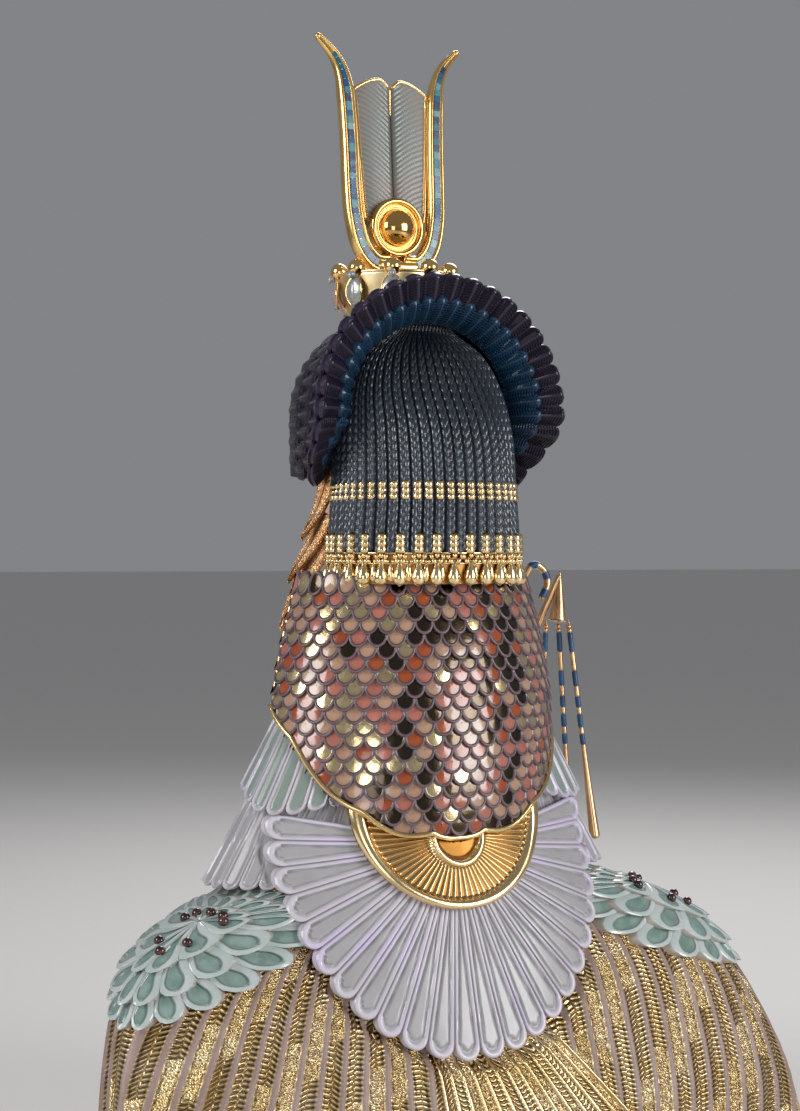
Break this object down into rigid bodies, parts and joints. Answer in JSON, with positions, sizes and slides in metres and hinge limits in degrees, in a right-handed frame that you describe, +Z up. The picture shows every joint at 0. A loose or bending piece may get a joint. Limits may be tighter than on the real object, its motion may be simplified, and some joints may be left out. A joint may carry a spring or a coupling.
{
  "type": "egyptian queen figurine",
  "caption": "Porcelain bust of an Egyptian queen with horned crown, vulture hood, braided wig, scale cape, petal collars, crook and flail.",
  "frame": {"origin": "centre of the flat underside, under the line between the shoulders", "axes": "+Z up to the crown, -Y the way the queen faces, +X to the queen's left"},
  "size_m": [0.321, 0.1466, 0.4653],
  "materials": {
    "cloak_gold": "gold lustre with satin mauve ribs",
    "white_glaze": "pearly porcelain glaze",
    "celadon_glaze": "celadon glaze, greener in the hollows",
    "scales": "tan, salmon, rust and gold glazes in mauve rims",
    "polished_gold": "polished gold",
    "matt_gold": "matt gold",
    "copper_gold": "copper lustre",
    "skin": "satin bisque",
    "braids": "satin slate glaze, gold bands",
    "dark_feathers": "glossy purple-black and blue glazes",
    "cobra_enamel": "celadon enamel and gold",
    "nacre": "grey mother-of-pearl",
    "blue_gold": "gold with blue enamel bands"
  },
  "bodies": {
    "root": {"robe_bust": "cloak_gold", "upper_collar": "white_glaze", "lower_collar": "white_glaze", "lotus_fan": "white_glaze", "scale_cape": "scales", "gold_half_disc": "polished_gold", "head": "skin", "hood": "dark_feathers", "wig": "braids", "cobra_crown": "cobra_enamel", "sun_disc": "polished_gold", "horns": "polished_gold", "plumes": "nacre", "left_epaulette": "celadon_glaze", "right_epaulette": "celadon_glaze", "left_lappet": "copper_gold", "right_lappet": "copper_gold", "crook": "blue_gold", "flail_handle": "matt_gold", "flail_strand_1": "matt_gold", "flail_strand_2": "matt_gold", "flail_strand_3": "matt_gold", "left_hand": "skin", "right_hand": "skin"}
  },
  "joints": []
}
